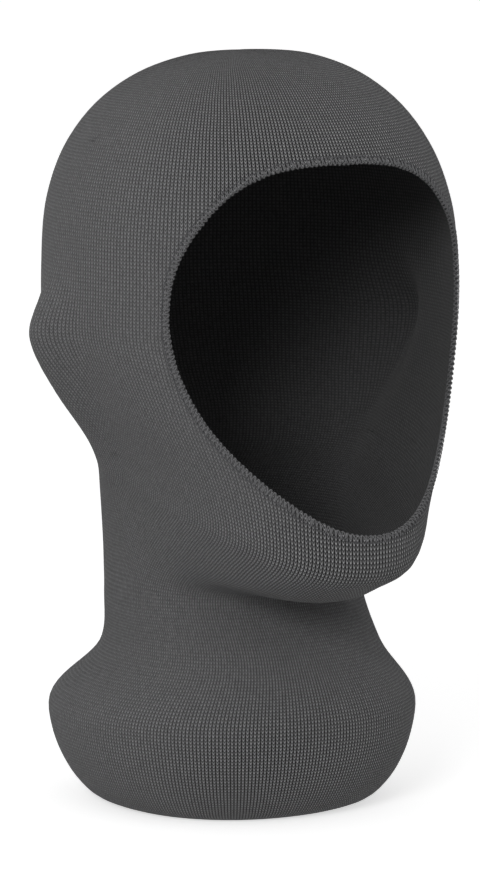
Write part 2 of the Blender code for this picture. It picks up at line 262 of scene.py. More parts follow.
def body_sections():
    """Sections from the bulge of the collar up to the level of the ears."""
    neck_front_y = NECK_CENTRE_Y - NECK_FRONT
    nape_y = NECK_CENTRE_Y + NECK_BACK
    fold_height = 0.5 * (NAPE_HEIGHT + JAW_HEIGHT)
    throat_width = NECK_HALF_WIDTH + THROAT_SHARE * (JAW_HALF_WIDTH - NECK_HALF_WIDTH)
    fold_width = 0.5 * (NECK_HALF_WIDTH + JAW_HALF_WIDTH)
    cheek_width = 0.5 * (JAW_HALF_WIDTH + EAR_LEVEL_HALF_WIDTH) + CHEEK_FULLNESS
    cheek_back = 0.5 * (JAW_BACK + EAR_LEVEL_BACK) + CHEEK_BACK_FULLNESS
    return [
        round_section(COLLAR_RADIUS, COLLAR_CENTRE_Y, COLLAR_WIDEST_HEIGHT),
        round_section(COLLAR_TOP_RADIUS, COLLAR_TOP_Y, COLLAR_TOP_HEIGHT),
        (NECK_HALF_WIDTH, NECK_CENTRE_Y, NECK_HEIGHT,
         neck_front_y, CHIN_UNDERSIDE_HEIGHT - THROAT_DROP, nape_y, NECK_HEIGHT),
        (throat_width, NECK_CENTRE_Y, NAPE_HEIGHT,
         -CHIN_ROOT_REACH, CHIN_UNDERSIDE_HEIGHT, nape_y + NAPE_STEP, NAPE_HEIGHT),
        (fold_width, NECK_CENTRE_Y - FOLD_FORWARD, fold_height,
         CHIN_TIP_STEP - CHIN_REACH, CHIN_TIP_HEIGHT, 0.5 * (nape_y + JAW_BACK), fold_height),
        (JAW_HALF_WIDTH, NECK_CENTRE_Y - JAW_FORWARD, JAW_HEIGHT,
         -CHIN_REACH, CHIN_LIP_HEIGHT, JAW_BACK, JAW_HEIGHT),
        (cheek_width, CHEEK_Y, 0.5 * (JAW_HEIGHT + EAR_LEVEL),
         CHEEK_STEP - CHIN_REACH, 0.5 * (CHIN_LIP_HEIGHT + EAR_LEVEL),
         cheek_back, 0.5 * (JAW_HEIGHT + EAR_LEVEL)),
        (EAR_LEVEL_HALF_WIDTH, EAR_LEVEL_Y, EAR_LEVEL,
         -0.5 * (BROW_REACH + CHIN_REACH) + EAR_LEVEL_STEP, EAR_LEVEL,
         EAR_LEVEL_BACK, EAR_LEVEL),
    ]


def dome_sections():
    """Sections of the dome: superellipse quarters for side, front and back profiles."""
    sections = []
    rise = CROWN_HEIGHT - BROW_HEIGHT
    for turn in np.linspace(0.0, 0.5 * math.pi, DOME_SECTIONS):
        across, up = max(math.cos(turn), 0.0), math.sin(turn)
        width = across ** SIDE_FULLNESS if across > 1e-9 else 0.0
        sections.append((
            BROW_HALF_WIDTH * width, CROWN_Y, BROW_HEIGHT + rise * up ** SIDE_LIFT,
            CROWN_Y - (BROW_REACH + CROWN_Y) * across, BROW_HEIGHT + rise * up ** FRONT_LIFT,
            CROWN_Y + (BROW_BACK - CROWN_Y) * across, BROW_HEIGHT + rise * up ** BACK_LIFT))
    return sections


SECTIONS = np.array(collar_sections() + body_sections() + dome_sections())
CHIN_LIP_SECTION = len(collar_sections()) + 5
EAR_SECTION = CHIN_LIP_SECTION + 2
BROW_SECTION = EAR_SECTION + 1


def section_places():
    """Place of each section up the hood, by profile length: 0 at the foot, 1 at the crown."""
    side = np.linalg.norm(np.diff(SECTIONS[:, [0, 2]], axis=0), axis=1)
    front = np.linalg.norm(np.diff(SECTIONS[:, [3, 4]], axis=0), axis=1)
    places = np.concatenate([[0.0], np.cumsum(side + FRONT_SHARE * front)])
    return places / places[-1]


PLACES = section_places()


def ring_values(places):
    """Section values at any places, by cubic Hermite pieces with matching slopes."""
    slope = np.diff(SECTIONS, axis=0) / np.diff(PLACES)[:, None]
    step = np.diff(PLACES)[:, None]
    inner = (step[1:] * slope[:-1] + step[:-1] * slope[1:]) / (step[1:] + step[:-1])
    tangent = np.vstack([slope[:1], inner, slope[-1:]])
    low = np.clip(np.searchsorted(PLACES, places, side="right") - 1, 0, len(PLACES) - 2)
    span = step[low]
    part = (np.asarray(places)[:, None] - PLACES[low][:, None]) / span
    rest = 1.0 - part
    return (SECTIONS[low] * (1 + 2 * part) * rest ** 2
            + SECTIONS[low + 1] * part ** 2 * (3 - 2 * part)
            + tangent[low] * span * part * rest ** 2
            - tangent[low + 1] * span * part ** 2 * rest)


def hood_surface(places, turns):
    """Outer face at places up the hood and turns around it (0 front, pi back).

    Each course is a superellipse through its front, side and back points: x is the half width
    times sine^(2/n), and y and z go from the side values to the front or back values by powers
    of the cosine. The ears are Gaussian bumps in x.
    """
    values = ring_values(np.ravel(places)).reshape(np.shape(places) + (7,))
    width, side_y, side_z, front_y, front_z, back_y, back_z = np.moveaxis(values, -1, 0)
    power = 2.0 / RING_SQUARENESS
    sine, cosine = np.sin(turns), np.cos(turns)
    across = np.sign(sine) * np.abs(sine) ** power
    along = np.abs(cosine) ** power
    tilt = np.abs(cosine) ** RING_TILT
    facing = cosine > 0.0
    x = width * across
    y = side_y + np.where(facing, front_y - side_y, back_y - side_y) * along
    z = side_z + np.where(facing, front_z - side_z, back_z - side_z) * tilt
    above = (z - EAR_HEIGHT) / EAR_RISE
    below = np.abs(z - EAR_HEIGHT) / EAR_FALL
    bump = np.exp(-((y - EAR_Y) / EAR_WIDTH) ** 2)
    bump *= np.where(z > EAR_HEIGHT, np.exp(-above ** 2), np.exp(-below ** EAR_FALL_POWER))
    x = x + np.sign(x) * EAR_REACH * bump * (np.abs(x) > EAR_CLEAR)
    return np.stack([x, y, z], axis=-1)


def hood_normals(places, turns):
    """Outward unit normals of the hood's outer face, from small steps both ways."""
    step = 2e-4
    low, high = np.clip(places - step, 0, 1), np.clip(places + step, 0, 1)
    up = hood_surface(high, turns) - hood_surface(low, turns)
    around = hood_surface(places, turns + step) - hood_surface(places, turns - step)
    out = np.cross(around, up)
    return out / np.maximum(np.linalg.norm(out, axis=-1, keepdims=True), 1e-15)


def face_edge(rows):
    """Rows of the face opening, evenly spaced along its edge, and the turn each starts at."""
    bottom = PLACES[CHIN_LIP_SECTION]
    dense = np.linspace(PLACES[EAR_SECTION], 1.0, DENSE_PLACES)
    top = np.interp(FACE_TOP_HEIGHT, ring_values(dense)[:, 4], dense)
    share = 0.5 - 0.5 * np.cos(np.linspace(0.0, math.pi, FACE_EDGE_POINTS))
    places = bottom + (top - bottom) * share
    warped = share ** (math.log(0.5) / math.log(FACE_WIDEST))
    swell = np.sqrt(np.clip(4.0 * warped * (1.0 - warped), 0.0, 1.0))
    sharp = FACE_BOTTOM_SHARPNESS + (FACE_TOP_SHARPNESS - FACE_BOTTOM_SHARPNESS) * warped
    half = FACE_HALF_WIDTH * swell ** sharp
    ratio = np.clip(half / ring_values(places)[:, 0], 0.0, FACE_LIMIT)
    turns = np.arcsin(ratio ** (RING_SQUARENESS / 2.0))
    length = along_lengths(hood_surface(places, turns), 0)
    even = np.linspace(0.0, length[-1], rows)
    return np.interp(even, length, places), np.interp(even, length, turns)


def hem_rows():
    """Rows of the hem: up inside the collar, round the turn and along the flat ring."""
    turn_x = COLLAR_FOOT_RADIUS - HEM_FLAT
    inner_x = turn_x - HEM_TURN_RADIUS
    profile = [(inner_x, height) for height in np.linspace(HEM_TURN_UP, HEM_TURN_RADIUS,
                                                           HEM_STEPS)]
    for turn in np.linspace(0.0, 0.5 * math.pi, HEM_STEPS + 1)[1:]:
        profile.append((turn_x - HEM_TURN_RADIUS * math.cos(turn),
                        HEM_TURN_RADIUS * (1.0 - math.sin(turn))))
    flat = np.linspace(turn_x, COLLAR_FOOT_RADIUS, HEM_STEPS)[1:-1]
    return profile + [(radius, 0.0) for radius in flat]


def hem_ring(radius, height, turns):
    """A level ring of the hem with the same outline as the foot of the collar."""
    power = 2.0 / RING_SQUARENESS
    x = radius * np.sign(np.sin(turns)) * np.abs(np.sin(turns)) ** power
    y = np.sign(np.cos(turns)) * np.abs(np.cos(turns)) ** power
    return np.stack([x, COLLAR_CENTRE_Y - radius * y, np.full_like(x, height)], axis=-1)


def along_lengths(points, axis):
    """Length run along one axis of a grid of points, from zero at its start."""
    steps = np.linalg.norm(np.diff(points, axis=axis), axis=-1)
    run = np.cumsum(steps, axis=axis)
    start = np.zeros_like(np.take(run, [0], axis=axis))
    return np.concatenate([start, run], axis=axis)


def around_share(places, turns):
    """Share of each course's length at which its turns lie."""
    dense = np.linspace(0.0, 2.0 * math.pi, DENSE_TURNS)
    rings = hood_surface(np.broadcast_to(places[:, None], (len(places), DENSE_TURNS)), dense)
    run = along_lengths(rings, 1)
    run /= np.maximum(run[:, -1:], 1e-12)
    spot = np.clip(turns / (2.0 * math.pi), 0.0, 1.0) * (DENSE_TURNS - 1)
    low = np.minimum(spot.astype(int), DENSE_TURNS - 2)
    rows = np.arange(len(places))[:, None]
    return run[rows, low] + (run[rows, low + 1] - run[rows, low]) * (spot - low)


def crown_gather(reach, turns):
    """Level and direction of the knit on the dome, whose wales gather behind the crown.

    On a disc with the brow course as its rim, each higher course is a circle of radius rho
    whose middle moves back by GATHER times (1 - rho)^2, so wales leave the brow upright and end
    at one point behind the crown. Halving steps find rho for each spot of the disc.
    """
    across, back = reach * np.sin(turns), -reach * np.cos(turns)
    low, high = np.zeros_like(reach), np.ones_like(reach)
    for _ in range(GATHER_HALVINGS):
        rho = 0.5 * (low + high)
        outside = np.hypot(across, back - GATHER * (1.0 - rho) ** 2) > rho
        low, high = np.where(outside, rho, low), np.where(outside, high, rho)
    rho = 0.5 * (low + high)
    direction = np.arctan2(across, -(back - GATHER * (1.0 - rho) ** 2))
    return rho, np.where(direction < 0.0, direction + 2.0 * math.pi, direction)


def knit_counts(places, turns):
    """Wales counted around the hood and courses counted up it, at each point of a grid."""
    brow = PLACES[BROW_SECTION]
    below = places <= brow
    wales = np.empty_like(turns)
    wales[below] = around_share(places[below], turns[below])
    reach = np.clip((1.0 - places[~below]) / (1.0 - brow), 0.0, 1.0)[:, None]
    flat_turns = turns[~below]
    rho, direction = crown_gather(np.broadcast_to(reach, flat_turns.shape), flat_turns)
    second_half = flat_turns > math.pi
    at_start, at_end = direction < CROWN_MARGIN, direction > 2.0 * math.pi - CROWN_MARGIN
    direction = np.where(second_half & at_start, 2.0 * math.pi, direction)
    direction = np.where(~second_half & at_end, 0.0, direction)
    wales[~below] = around_share(np.full(direction.shape[0], brow), direction)
    heights = np.linspace(0.0, brow, DENSE_PLACES)
    side = hood_surface(heights, np.full(DENSE_PLACES, 0.5 * math.pi))
    front = hood_surface(heights, np.zeros(DENSE_PLACES))
    run = 0.5 * (along_lengths(side, 0) + along_lengths(front, 0))
    courses = np.empty_like(turns)
    courses[below] = np.interp(places[below], heights, run)[:, None]
    courses[~below] = run[-1] + wale_lengths(rho, direction, brow)
    return wales * WALES_AROUND, courses / COURSE_PITCH


def wale_lengths(rho, direction, brow):
    """Length of each wale from the brow course up to its level rho on the dome."""
    levels = np.linspace(1.0, 0.0, DOME_LEVELS)
    turns = np.linspace(0.0, 2.0 * math.pi, DOME_TURNS)
    across = levels[:, None] * np.sin(turns)
    back = GATHER * (1.0 - levels[:, None]) ** 2 - levels[:, None] * np.cos(turns)
    places = 1.0 - (1.0 - brow) * np.clip(np.hypot(across, back), 0.0, 1.0)
    points = hood_surface(places, np.arctan2(across, -back))
    run = along_lengths(points, 0)
    row = (1.0 - rho) * (DOME_LEVELS - 1)
    column = direction / (2.0 * math.pi) * (DOME_TURNS - 1)
    low_row = np.clip(row.astype(int), 0, DOME_LEVELS - 2)
    low_column = np.clip(column.astype(int), 0, DOME_TURNS - 2)
    part_row, part_column = row - low_row, column - low_column
    first, second = (run[rows, low_column] * (1 - part_column)
                     + run[rows, low_column + 1] * part_column
                     for rows in (low_row, low_row + 1))
    return first * (1 - part_row) + second * part_row


def soft_folds(points):
    """Height of the slack in the fabric, off the hood's outer face.

    The folds under the chin are a sine of the height inside a Gaussian band, and fade to the
    back. The wave round the collar is a sine of the turn inside a band of its own.
    """
    x, y, z = np.moveaxis(points, -1, 0)
    turn = np.arctan2(x, COLLAR_CENTRE_Y - y)
    level = z - THROAT_FOLD_HEIGHT - THROAT_FOLD_RISE * np.cos(turn)
    throat = np.exp(-(level / THROAT_FOLD_SPREAD) ** 2)
    ripple = np.sin((z + THROAT_FOLD_SLANT * np.abs(np.sin(turn))) / THROAT_FOLD_WAVE)
    collar = np.exp(-((z - COLLAR_WAVE_HEIGHT) / COLLAR_WAVE_SPREAD) ** 2)
    wave = collar * np.sin(COLLAR_WAVES * turn + COLLAR_WAVE_SLANT * z)
    return (THROAT_FOLD_DEPTH * throat * ripple * np.cos(0.5 * turn) ** 2
            + COLLAR_WAVE_DEPTH * wave)


def seam_groove(points):
    """Depth of the groove that the closing seam pulls into the crown along the middle line."""
    x, y, z = np.moveaxis(points, -1, 0)
    over = (z > SEAM_BACK_HEIGHT) & ((y > SEAM_FRONT_Y) | (z > CROWN_HEIGHT))
    fade_front = np.clip((y - SEAM_FRONT_Y) / SEAM_FADE_FRONT, 0.0, 1.0)
    fade_back = np.clip((z - SEAM_BACK_HEIGHT) / SEAM_FADE_BACK, 0.0, 1.0)
    line = np.exp(-(x / SEAM_GROOVE_WIDTH) ** 2)
    return SEAM_GROOVE_DEPTH * line * fade_front * fade_back * over


def hood_shares():
    """Shares of a course at which its columns lie: closer by the face edge and at the back."""
    even = np.linspace(0.0, 1.0, HOOD_COLUMNS)
    return even - COLUMN_CROWDING * np.sin(4.0 * math.pi * even) / math.pi


def put_mesh(name, points, faces, uvs, materials):
    """A mesh object from arrays: corner coordinates go into the UV map named knit."""
    mesh = bpy.data.meshes.new(name)
    mesh.from_pydata(points, [], faces)
    layer = mesh.uv_layers.new(name="knit")
    layer.data.foreach_set("uv", np.ascontiguousarray(uvs, dtype=np.float32).ravel())
    for material in materials:
        mesh.materials.append(material)
    mesh.shade_smooth()
    obj = bpy.data.objects.new(name, mesh)
    bpy.context.scene.collection.objects.link(obj)
    return obj


def grid_corners(rows, columns, closed=False):
    """Corner indices of a grid's quads, row by row; closed joins the last column to the first."""
    row, column = np.meshgrid(np.arange(rows - 1), np.arange(columns - (0 if closed else 1)),
                              indexing="ij")
    here = row * columns + column
    right = row * columns + (column + 1) % columns
    return np.stack([here, right, right + columns, here + columns], axis=-1).reshape(-1, 4)


def weld(points, faces):
    """Merge points that lie within WELD_DISTANCE, keeping the order of the corners."""
    keys = np.round(points / WELD_DISTANCE).astype(np.int64)
    _, first, where = np.unique(keys, axis=0, return_index=True, return_inverse=True)
    return points[first], where.ravel()[faces]


def make_hood(materials):
    """The knitted tube: a grid of courses by columns, opened at the face, given its wall.

    Quads at the crown and the slit's ends have corners that meet. They become triangles, and
    those with two corners left are dropped.
    """
    edge_places, edge_turns = face_edge(FACE_ROWS)
    below = np.linspace(0.0, edge_places[0], BODY_ROWS)[:-1]
    rise = np.sin(np.linspace(0.0, 0.5 * math.pi, CROWN_ROWS + 1)[1:])
    above = edge_places[-1] + (1.0 - edge_places[-1]) * rise
    places = np.concatenate([below, edge_places, above])
    starts = np.interp(places, edge_places, edge_turns, left=0.0, right=0.0)
    shares = hood_shares()
    turns = starts[:, None] + (2.0 * math.pi - 2.0 * starts[:, None]) * shares
    grid_places = np.broadcast_to(places[:, None], turns.shape)
    body = hood_surface(grid_places, turns)
    body[1:-1] += (hood_normals(grid_places, turns) * (
        soft_folds(body) - seam_groove(body))[..., None])[1:-1]
    around = 2.0 * math.pi * shares
    hem = np.array([hem_ring(radius, height, around) for radius, height in hem_rows()])
    points = np.concatenate([hem, body])
    wales, courses = knit_counts(places, turns)
    hem_run = along_lengths(np.concatenate([hem, body[:1]]), 0)
    hem_courses = (hem_run[:-1] - hem_run[-1]) / COURSE_PITCH
    hem_wales = np.broadcast_to(wales[:1], hem_courses.shape)
    counts = np.stack([np.concatenate([hem_wales, wales]),
                       np.concatenate([hem_courses, courses])], axis=-1)
    rows, columns = counts.shape[:2]
    faces = grid_corners(rows, columns)
    uvs = side_counts(counts, faces, columns)
    flat, welded = weld(points.reshape(-1, 3), faces)
    apart = welded != np.roll(welded, 1, axis=1)
    sizes = apart.sum(axis=1)
    whole = sizes > 2
    apart &= whole[:, None]
    loops = np.split(welded[apart], np.cumsum(sizes[whole])[:-1])
    hood = put_mesh("hood", flat, [loop.tolist() for loop in loops], uvs[apart], materials)
    tight = hood.data.attributes.new("stretch", "FLOAT", "POINT")
    tight.data.foreach_set("value", knit_stretch(flat).astype(np.float32))
    wall = hood.modifiers.new("Wall", "SOLIDIFY")
    wall.thickness = FABRIC
    wall.offset = -1.0
    wall.use_even_offset = False
    wall.use_rim = True
    # The inner face and the rim take the second material, the knit's copy darkened as painted
    # shade.
    wall.material_offset = 1
    wall.material_offset_rim = 1
    return hood


def side_counts(counts, faces, columns):
    """Corner counts of each face, taken from the side of the middle line that it lies on."""
    uvs = counts.reshape(-1, 2)[faces].copy()
    column = faces[:, 0] % columns
    left = column < (columns - 1) / 2
    spread = uvs[:, :, 0].max(axis=1) - uvs[:, :, 0].min(axis=1)
    crosses = spread > 0.5 * WALES_AROUND
    past_half = uvs[:, :, 0] > 0.5 * WALES_AROUND
    too_high = (crosses & left)[:, None] & past_half
    too_low = (crosses & ~left)[:, None] & ~past_half
    uvs[:, :, 0] += WALES_AROUND * (too_low.astype(float) - too_high)
    return uvs


def knit_stretch(points):
    """How tight the knit is pulled, which sets the strength of its painted shade and painted light:
    full over the forehead, chin and front of the collar.

    Each tight area is a Gaussian of the distance from its middle, and the most of them counts.
    """
    tight = [np.exp(-np.sum(((points - middle) / spread) ** 2, axis=-1))
             for middle, spread in TIGHT_AREAS]
    return RELAXED_SHARE + (1.0 - RELAXED_SHARE) * np.max(tight, axis=0)


def edge_directions(points, out, away_from):
    """Directions along the fabric, square to its edge and pointing away from a place."""
    along = np.roll(points, -1, axis=0) - np.roll(points, 1, axis=0)
    into = np.cross(out, along)
    into /= np.linalg.norm(into, axis=1, keepdims=True)
    return into * np.sign(np.sum(into * (points - away_from), axis=1))[:, None]


def face_edge_line():
    """The face opening's edge as a closed line: points, outward normals, ways into the fabric."""
    places, turns = face_edge(DENSE_PLACES)
    places = np.concatenate([places, places[-2:0:-1]])
    turns = np.concatenate([turns, -turns[-2:0:-1]])
    points = hood_surface(places, turns)
    out = hood_normals(places, turns)
    return points, out, edge_directions(points, out, np.array(FACE_MIDDLE))


def hem_edge_line():
    """The hem's cut edge, which stands up inside the collar, as a closed line."""
    turns = np.linspace(0.0, 2.0 * math.pi, HEM_EDGE_POINTS, endpoint=False)
    radius, height = hem_rows()[0]
    points = hem_ring(radius, height, turns)
    centre = np.array([0.0, COLLAR_CENTRE_Y, height])
    out = centre - points
    out /= np.linalg.norm(out, axis=1, keepdims=True)
    far_above = centre + np.array([0.0, 0.0, 10.0])
    return points, out, edge_directions(points, out, far_above)


def seam_line(depth):
    """Points and outward normals along the crown seam, at a depth below the outer face."""
    dense = np.linspace(PLACES[EAR_SECTION], 1.0, DENSE_PLACES)
    values = ring_values(dense)
    front = np.interp(SEAM_FRONT_Y, values[:, 3], dense)
    back = np.interp(SEAM_BACK_HEIGHT, values[:, 6], dense)
    run = np.linspace(front - 1.0, 1.0 - back, SEAM_POINTS)
    places = np.minimum(1.0 - np.abs(run), 1.0 - CROWN_MARGIN)
    turns = np.where(run < 0.0, 0.0, math.pi)
    out = hood_normals(places, turns)
    points = hood_surface(places, turns) - out * depth
    points[:, 0] = 0.0
    out[:, 0] = 0.0
    return points, out / np.linalg.norm(out, axis=1, keepdims=True)


def read_line(line, spots, closed):
    """Points, outward and inward directions at spots, as lengths along an edge line.

    Spots run on round a closed line. On an open one they are stretched to fill it, so that no
    two of them meet at its ends.
    """
    ring = [np.concatenate([part, part[:1]]) if closed else part for part in line]
    run = along_lengths(ring[0], 0)
    spots = (np.mod(spots, run[-1]) if closed
             else (spots - spots.min()) * run[-1] / np.ptp(spots))
    points, out, into = (np.stack([np.interp(spots, run, part[:, axis]) for axis in range(3)],
                                  axis=-1) for part in ring)
    return (points, out / np.linalg.norm(out, axis=1, keepdims=True),
            into / np.linalg.norm(into, axis=1, keepdims=True))


def line_length(line, closed):
    """Length of an edge line."""
    points = np.concatenate([line[0], line[0][:1]]) if closed else line[0]
    return along_lengths(points, 0)[-1]


def carry_thread(name, path, outward, radius, closed, material):
    """A round thread: a ring of THREAD_SIDES points square to the path, carried along it."""
    ahead = np.roll(path, -1, axis=0) - np.roll(path, 1, axis=0)
    if not closed:
        ahead[0], ahead[-1] = path[1] - path[0], path[-1] - path[-2]
    ahead /= np.linalg.norm(ahead, axis=1, keepdims=True)
    side = np.cross(ahead, outward)
    side /= np.linalg.norm(side, axis=1, keepdims=True)
    upward = np.cross(side, ahead)
    turns = np.linspace(0.0, 2.0 * math.pi, THREAD_SIDES, endpoint=False)
    ring = (side[:, None] * np.cos(turns)[None, :, None]
            + upward[:, None] * np.sin(turns)[None, :, None])
    points = path[:, None] + ring * radius[:, None, None]
    run = along_lengths(path, 0) * 1000.0
    share = np.arange(THREAD_SIDES) / THREAD_SIDES
    if closed:
        points = np.concatenate([points, points[:1]])
        run = np.append(run, run[-1] + np.linalg.norm(path[0] - path[-1]) * 1000.0)
    rows = len(points)
    faces = grid_corners(rows, THREAD_SIDES, closed=True)[:, ::-1]
    coordinates = np.stack(np.broadcast_arrays(share[None], run[:, None]), axis=-1)
    uvs = coordinates.reshape(-1, 2)[faces]
    wraps = uvs[:, :, 0].max(axis=1) - uvs[:, :, 0].min(axis=1) > 0.5
    uvs[wraps, :, 0] = np.where(uvs[wraps, :, 0] < 0.3, uvs[wraps, :, 0] + 1.0,
                                uvs[wraps, :, 0])
    flat = points.reshape(-1, 3)
    if closed:
        count = (rows - 1) * THREAD_SIDES
        faces = faces % count
        flat = flat[:count]
        return put_mesh(name, flat, faces.tolist(), uvs.reshape(-1, 2), [material])
    caps = np.array([np.arange(THREAD_SIDES), np.arange(THREAD_SIDES)[::-1]
                     + (rows - 1) * THREAD_SIDES])
    cap_uvs = coordinates.reshape(-1, 2)[caps]
    return put_mesh(name, flat, faces.tolist() + caps.tolist(),
                    np.concatenate([uvs.reshape(-1, 2), cap_uvs.reshape(-1, 2)]), [material])


def looper_thread(name, line, closed, pitch, depth, side, lean, seed, material):
    """Loops of one looper thread of an overlocked edge.

    In each stitch the thread goes from the edge to the needle line and back: its way in is
    half of one minus the cosine of the stitch's turn, and its way along adds a sine, which
    narrows the loop at the needle, and a lean. At the edge it dips to the middle of the wall.
    """
    length = line_length(line, closed)
    stitches = int(round(length / pitch))
    rng = np.random.default_rng(seed)
    count = stitches * LOOPER_POINTS
    phase = np.arange(count) / LOOPER_POINTS
    number = np.minimum(phase.astype(int), stitches - 1)
    spin = 2.0 * math.pi * phase
    across = 0.5 - 0.5 * np.cos(spin)
    loose = rng.uniform(0.2, 1.0, stitches)[number]
    sway = rng.uniform(-LOOP_SWAY, LOOP_SWAY, stitches)[number]
    spots = ((phase + LOOP_NARROWING * np.sin(spin) + (lean + sway) * across)
             * length / stitches)
    points, out, into = read_line(line, spots, closed)
    reach = STITCH_WIDTH * (1.0 + LOOP_UNEVEN * rng.uniform(-1, 1, stitches)[number])
    inward = across * reach - LOOP_LOOSE * loose * (1.0 - across) ** 4
    on_face = np.clip(across / LOOP_ON_FACE, 0.0, 1.0)
    on_face = on_face * on_face * (3.0 - 2.0 * on_face)
    middle = -0.5 * depth
    top = (0.5 * LOOPER_THREAD + THREAD_REST if side > 0
           else -depth - 0.5 * LOOPER_THREAD - THREAD_REST)
    height = middle + (top - middle) * on_face
    path = points + into * inward[:, None] + out * height[:, None]
    radius = np.full(count, 0.5 * LOOPER_THREAD) * (1.0 - LOOP_THICKNESS_CHANGE * np.cos(spin))
    return carry_thread(name, path, out, radius, closed, material)


def needle_thread(name, line, closed, pitch, depth, material):
    """The needle's straight stitches: the thread lies on the face and dives once a stitch."""
    length = line_length(line, closed)
    stitches = int(round(length / pitch))
    count = stitches * NEEDLE_POINTS
    phase = np.arange(count) / NEEDLE_POINTS
    spots = (phase + 0.5) * length / stitches
    points, out, into = read_line(line, spots, closed)
    dive = np.clip(np.cos(2.0 * math.pi * phase), 0.0, 1.0) ** 3
    height = 0.5 * NEEDLE_THREAD + THREAD_REST - dive * (0.5 * depth + NEEDLE_THREAD)
    path = points + into * (STITCH_WIDTH + NEEDLE_SET_IN) + out * height[:, None]
    return carry_thread(name, path, out, np.full(count, 0.5 * NEEDLE_THREAD), closed, material)


def overlock(prefix, line, closed, pitch, depth, seed, materials):
    """The three threads of one overlocked edge, each standing for its node of the frame."""
    threads = [
        looper_thread(prefix + "_upper_loops", line, closed, pitch, depth, 1, UPPER_LEAN, seed,
                      materials[0]),
        looper_thread(prefix + "_lower_loops", line, closed, pitch, depth, -1, LOWER_LEAN,
                      seed + 1, materials[0]),
        needle_thread(prefix + "_needle_stitches", line, closed, pitch, depth, materials[1])]
    for thread, node in zip(threads, ("upper_looper", "lower_looper", "needle")):
        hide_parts(f"{prefix}_{node}_thread")
    return threads


def make_allowance(material):
    """The two seam allowances of the crown, which stand inside it face to face."""
    top, _ = seam_line(ALLOWANCE_ROOT)
    foot, _ = seam_line(FABRIC + SEAM_ALLOWANCE)
    run = along_lengths(top, 0) / COURSE_PITCH
    levels = np.linspace(0.0, 1.0, ALLOWANCE_ROWS)[:, None, None]
    layers = []
    for side in (1, -1):
        sheet = top[None] + (foot - top)[None] * levels
        sheet[..., 0] = side * ALLOWANCE_CLEARANCE
        faces = grid_corners(len(levels), len(top))
        if side < 0:
            faces = faces[:, ::-1]
        depth = np.broadcast_to(levels[..., 0] * SEAM_ALLOWANCE / RELAXED_WALE, sheet.shape[:2])
        counts = np.stack([depth, np.broadcast_to(run, sheet.shape[:2])], axis=-1)
        name = "crown_seam_allowance_" + ("left" if side > 0 else "right")
        layer = put_mesh(name, sheet.reshape(-1, 3), faces.tolist(),
                         counts.reshape(-1, 2)[faces].reshape(-1, 2), [material])
        wall = layer.modifiers.new("Wall", "SOLIDIFY")
        wall.thickness = FABRIC
        wall.offset = 1.0
        layers.append(layer)
    return layers


def seam_edge_line():
    """The allowances' free edge inside the crown: points on the left layer's face."""
    points, up = seam_line(FABRIC + SEAM_ALLOWANCE)
    out = np.zeros_like(points)
    out[:, 0] = 1.0
    return points + out * FABRIC, out, up


def linear(code):
    """Linear RGBA of an sRGB hex code."""
    parts = [int(code[i:i + 2], 16) / 255.0 for i in (1, 3, 5)]
    return tuple(c / 12.92 if c <= 0.04045 else ((c + 0.055) / 1.055) ** 2.4
                 for c in parts) + (1.0,)


def add_node(tree, kind, inputs=(), **settings):
    """Add a node with its settings; an input is a value or the socket that feeds it."""
    node = tree.nodes.new(kind)
    for name, value in settings.items():
        setattr(node, name, value)
    for socket, value in dict(inputs).items():
        if isinstance(value, bpy.types.NodeSocket):
            tree.links.new(value, node.inputs[socket])
        else:
            node.inputs[socket].default_value = value
    return node


def new_material(name, roughness, sheen):
    """A matte textile material: its tree and its shader."""
    material = bpy.data.materials.new(name)
    material.use_nodes = True
    shader = material.node_tree.nodes["Principled BSDF"]
    shader.inputs["Roughness"].default_value = roughness
    shader.inputs["Specular IOR Level"].default_value = 0.25
    shader.inputs["Sheen Weight"].default_value = sheen
    shader.inputs["Sheen Roughness"].default_value = 0.6
    return material, material.node_tree, shader


